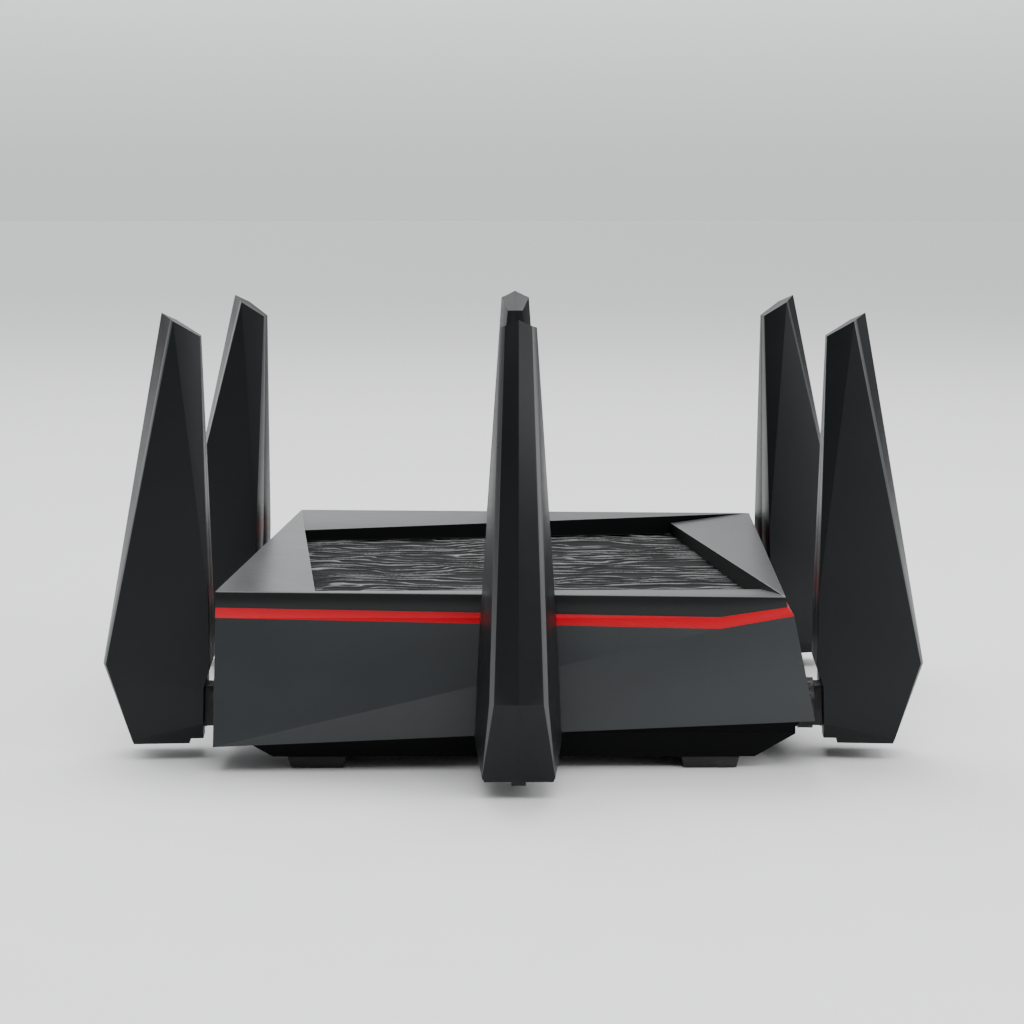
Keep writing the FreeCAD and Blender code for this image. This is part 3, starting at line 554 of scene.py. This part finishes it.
def contact_tree():
    """Rows of thin spring contacts, one row for each socket."""
    build, given = geometry_tree("contact_rows", {
        "Start X": 0.0, "Start Y": 0.0, "Start Z": 0.0, "Pitch": 0.001, "Row Pitch": 0.015,
        "Width": 0.0004, "Length": 0.008, "Thickness": 0.0003, "Slope": 0.0},
        {"Count": 8, "Rows": 1})
    rows = build.node("GeometryNodeMeshLine", None, {
        "Count": given["Rows"], "Offset": build.vector(given["Row Pitch"]),
        "Start Location": build.vector(given["Start X"], given["Start Y"], given["Start Z"])})
    row = build.node("GeometryNodeMeshLine", None, {
        "Count": given["Count"], "Offset": build.vector(given["Pitch"])})
    bar = build.node("GeometryNodeMeshCube", None, {
        "Size": build.vector(given["Width"], given["Length"], given["Thickness"])})
    sloped = build.node("GeometryNodeTransform", None,
                        {"Geometry": bar, "Rotation": build.vector(given["Slope"])})
    placed = build.node("GeometryNodeInstanceOnPoints", None, {"Points": row, "Instance": sloped})
    repeated = build.node("GeometryNodeInstanceOnPoints", None,
                          {"Points": rows, "Instance": placed})
    return ended(build, repeated, "contact_gold")


def contacts(tree, name, middle, pitch, size, count, slope=0.0, row_pitch=0.0, rows=1):
    """Contacts side by side about a middle point, and again in each further row."""
    piece = made_by(tree, name, {
        "Start X": middle[0] - pitch * (count - 1) / 2, "Start Y": middle[1],
        "Start Z": middle[2], "Pitch": pitch, "Row Pitch": row_pitch, "Width": size[0],
        "Length": size[1], "Thickness": size[2], "Slope": slope, "Count": count,
        "Rows": rows})
    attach(piece, "case")


def turned(profile, start, along, sides=32):
    """A round piece from (distance along, radius) pairs, closed at both ends."""
    mesh = bmesh.new()
    axis = Vector(along).normalized()
    across = axis.orthogonal().normalized()
    rings = []
    for distance, radius in profile:
        ring = []
        for step in range(sides):
            swing = Matrix.Rotation(math.tau * step / sides, 3, axis)
            ring.append(mesh.verts.new(Vector(start) + axis * distance + swing @ across * radius))
        rings.append(ring)
    for lower, upper in zip(rings, rings[1:]):
        for step in range(sides):
            after = (step + 1) % sides
            mesh.faces.new((lower[step], lower[after], upper[after], upper[step]))
    mesh.faces.new(rings[0])
    mesh.faces.new(rings[-1])
    bmesh.ops.recalc_face_normals(mesh, faces=mesh.faces)
    return mesh


def rounded_block(low, high, radius):
    mesh = bmesh.new()
    size = [top - bottom for bottom, top in zip(low, high)]
    middle = [(top + bottom) / 2 for bottom, top in zip(low, high)]
    bmesh.ops.create_cube(mesh, size=1.0, matrix=Matrix.LocRotScale(middle, None, size))
    eased(mesh, radius, shortest=0.0, finish=0)
    return mesh


def network_contacts(tree):
    low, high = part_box("network_port_block")
    pitch = (high.x - low.x) / SOCKET_COUNT
    middle = (low.x + pitch / 2, high.y - SOCKET_CONTACT_DEPTH, low.z + SOCKET_CONTACT_HEIGHT)
    contacts(tree, "socket_contacts", middle, SOCKET_CONTACT_PITCH, SOCKET_CONTACT_SIZE,
             SOCKET_CONTACTS, slope=-CONTACT_SLOPE, row_pitch=pitch, rows=SOCKET_COUNT)


def usb_tongue(tree):
    low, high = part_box("usb_port")
    middle = (low.x + high.x) / 2
    top = high.z - TONGUE_DROP
    back, front = (high.y - depth for depth in TONGUE_DEPTHS)
    mesh = rounded_block((middle - TONGUE_HALF, back, top - TONGUE_THICKNESS),
                         (middle + TONGUE_HALF, front, top), 0.25 * MM)
    softened(mesh)
    finished_piece("usb_tongue", mesh, ("usb_insulator",), "case", "socket")
    underside = top - TONGUE_THICKNESS - 0.05 * MM
    contacts(tree, "usb_contacts", (middle, high.y - USB_CONTACT_DEPTH, underside),
             USB_CONTACT_PITCH, USB_CONTACT_SIZE, USB_CONTACTS)


def dc_centre_pin():
    low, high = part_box("dc_jack")
    start = ((low.x + high.x) / 2, high.y - PIN_DEPTH, (low.z + high.z) / 2)
    mesh = turned([(distance * MM, radius * MM) for distance, radius in PIN_PROFILE], start,
                  (0, 1, 0))
    softened(mesh)
    finished_piece("dc_centre_pin", mesh, ("steel",), "case", "jack_brass")


def rear_connections():
    eased_case_piece("rear_port_bezel", "socket", 0.20 * MM, ("bezel", "bezel_edge"),
                     shortest=3 * MM)
    eased_case_piece("network_port_block", "socket", 0.25 * MM, ("socket", "socket_edge"))
    eased_case_piece("usb_port", "steel", 0.30 * MM, ("shield", "shield"))
    eased_case_piece("dc_jack", "socket", 0.40 * MM, ("socket", "socket_edge"))
    eased_case_piece("port_light_windows", "light_window", 0.20 * MM,
                     ("light_window", "light_window"), shortest=1.0 * MM)
    for button in ("power_button", "wps_button", "wifi_button", "reset_button"):
        eased_case_piece(button, "button", 0.30 * MM, ("button", "button_edge"), angle=50.0,
                         shortest=0.0)
    tree = contact_tree()
    network_contacts(tree)
    usb_tongue(tree)
    dc_centre_pin()


# ---- antennas -----------------------------------------------------------------------------------
HINGE_HEIGHT = 20.5          # in the antenna's own frame, mm
BLADE_SHOULDER = ((172.3, 4.9), (39.1, 8.9))     # height and half width at both ends, mm
SHOULDER_MARGIN = 0.25
OUTWARD = 0.5                # the least that a strip's normal points outward


def blade_frame(name):
    """The hinge point and the blade's outward, sideways and upward directions."""
    swivel = JOINTS["swivel_" + name]
    tilt = JOINTS["tilt_" + name]
    side = Vector(tilt["axis"]).normalized()
    lean = math.radians(JOINTS["tilt_front"]["range_deg"][1] - tilt["range_deg"][1])
    outward = Matrix.Rotation(lean, 3, side) @ Vector(swivel["axis"]).normalized()
    return Vector(tilt["pos_m"]), outward, side, outward.cross(side)


def chamfer_faces(mesh, name):
    """Give the narrow strips beside the blade's outer ridge their own finish, a lighter copy that paints their
    highlight.
    """
    hinge, outward, side, upward = blade_frame(name)
    (top_z, top_y), (wide_z, wide_y) = BLADE_SHOULDER
    for face in mesh.faces:
        place = face.calc_center_median() - hinge
        height = place.dot(upward) / MM + HINGE_HEIGHT
        shoulder = top_y + (top_z - height) / (top_z - wide_z) * (wide_y - top_y)
        beyond = abs(place.dot(side)) / MM - shoulder
        if face.normal.dot(outward) > OUTWARD and beyond > SHOULDER_MARGIN:
            face.material_index = 1


def blade_shells():
    for name in ANTENNA_NAMES:
        for half in ("shell_a", "shell_b"):
            node = "antenna_" + name + "_" + half
            mesh = merged(node)
            chamfer_faces(mesh, name)
            flattened(mesh)
            eased(mesh, 0.25 * MM, angle=25.0, shortest=9 * MM, finish=-1)
            softened(mesh)
            finished_piece(node + "_eased", mesh, ("antenna_shell", "antenna_edge"),
                           "blade_" + name, "antenna_shell", node)


def hinges():
    for name in ANTENNA_NAMES:
        for part, width in (("elbow", 0.6), ("collar_nut", 0.25)):
            eased_case_piece("antenna_" + name + "_" + part, "hinge_plastic", width * MM,
                             ("hinge_plastic", "hinge_edge"), angle=40.0, shortest=1.5 * MM)


def plain_nodes():
    """Give every CAD piece that still shows its finish."""
    slots = {part["node"]: part["material_slot"] for part in frame["record"]["subparts"]}
    for name, node in NODES.items():
        if not node.hide_render:
            node.data.materials.clear()
            node.data.materials.append(FINISHES[slots[name]])


# ---- studio -------------------------------------------------------------------------------------
BACKDROP = 1.75
BACKDROP_MIDDLE = 0.64       # the backdrop is brightest at the left and fades to the right
BACKDROP_FALL = 1.5
BACKDROP_LEAST = 0.1
SIDE_WALL = 0.60
CEILING = 0.8
ROOM = 0.10
SEEN_HORIZON = 0.86
SEEN_RISE = 1.8
SOFTBOX_TARGET = (0.0, 0.0, 0.06)
SOFTBOXES = {                # name: place and size in metres, power in watts
    "right_softbox": ((1.7, -0.75, 0.9), (1.2, 1.4), 23.0),
    "front_softbox": ((0.1, -1.5, 2.0), (1.8, 0.9), 36.0),
    "top_softbox": ((0.1, 0.9, 2.0), (2.0, 1.2), 34.0),
}
FLOOR_RADIUS = 40.0
CAMERA_PLACE = (-0.0031, -0.8745, 0.2137)
CAMERA_DOWN = 8.37           # degrees, as is the turn
CAMERA_TURN = -0.18
CAMERA_LENS = 72.2           # mm, as is the sensor
SENSOR_WIDTH = 36.0


def paper_finish():
    finish = Finish("studio_floor")
    tooth = finish.noise(finish.place, 40.0, detail=3.0)
    colour = finish.blended(tooth, (0.80, 0.80, 0.80), (0.83, 0.83, 0.83))
    return finish.surface(base_color=colour, roughness=0.9)


def studio_floor():
    mesh = bmesh.new()
    bmesh.ops.create_circle(mesh, cap_ends=True, segments=64, radius=FLOOR_RADIUS)
    data = bpy.data.meshes.new("studio_floor")
    mesh.to_mesh(data)
    mesh.free()
    data.materials.append(paper_finish())
    floor = bpy.data.objects.new("studio_floor", data)
    bpy.context.scene.collection.objects.link(floor)


def softbox(name, place, size, power):
    light = bpy.data.lights.new(name, "AREA")
    light.shape = "RECTANGLE"
    light.size, light.size_y = size
    light.energy = power
    box = bpy.data.objects.new(name, light)
    box.location = place
    aim = Vector(SOFTBOX_TARGET) - Vector(place)
    box.rotation_euler = aim.to_track_quat("-Z", "Y").to_euler()
    box.visible_camera = False
    bpy.context.scene.collection.objects.link(box)


def studio_surround():
    """A white backdrop behind, a paler side on the right and a dim room in front."""
    world = bpy.data.worlds.new("studio")
    bpy.context.scene.world = world
    world.use_nodes = True
    build = Tree(world.node_tree)
    build.tree.nodes.clear()
    aim = build.node("ShaderNodeTexCoord", output="Generated")

    def rise(axis, low, high):
        return build.node("ShaderNodeMapRange", {"interpolation_type": "SMOOTHSTEP"},
                          {0: build.along(aim, axis), 1: low, 2: high})

    leftward = build.maths("MAXIMUM", BACKDROP_MIDDLE - build.along(aim, "X") * BACKDROP_FALL,
                           BACKDROP_LEAST)
    backdrop = rise("Y", -0.10, 0.55) * leftward * BACKDROP
    side_wall = rise("X", 0.0, 0.85) * (1.0 - rise("Y", 0.0, 0.5)) * SIDE_WALL
    glow = backdrop + side_wall + rise("Z", 0.35, 1.0) * CEILING + ROOM
    seen = build.node("ShaderNodeLightPath", output="Is Camera Ray")
    sweep = rise("Z", 0.0, 0.30) * SEEN_RISE + SEEN_HORIZON
    strength = glow + seen * (sweep - glow)
    paper = build.node("ShaderNodeBackground", None,
                       {"Color": (0.97, 0.985, 1.0, 1.0), "Strength": strength})
    build.node("ShaderNodeOutputWorld", None, {"Surface": paper}, output=None)


def studio_lights():
    for name, (place, size, power) in SOFTBOXES.items():
        softbox(name, place, size, power)


def studio_camera():
    camera = bpy.data.objects.new("camera", bpy.data.cameras.new("camera"))
    bpy.context.scene.collection.objects.link(camera)
    camera.data.lens = CAMERA_LENS
    camera.data.sensor_width = SENSOR_WIDTH
    camera.location = CAMERA_PLACE
    camera.rotation_euler = (math.radians(90.0 - CAMERA_DOWN), 0.0, math.radians(CAMERA_TURN))
    bpy.context.scene.camera = camera


case_shells()
textured_panel()
rear_connections()
blade_shells()
hinges()
plain_nodes()
studio_floor()
studio_surround()
studio_lights()
studio_camera()

bpy.context.view_layer.update()
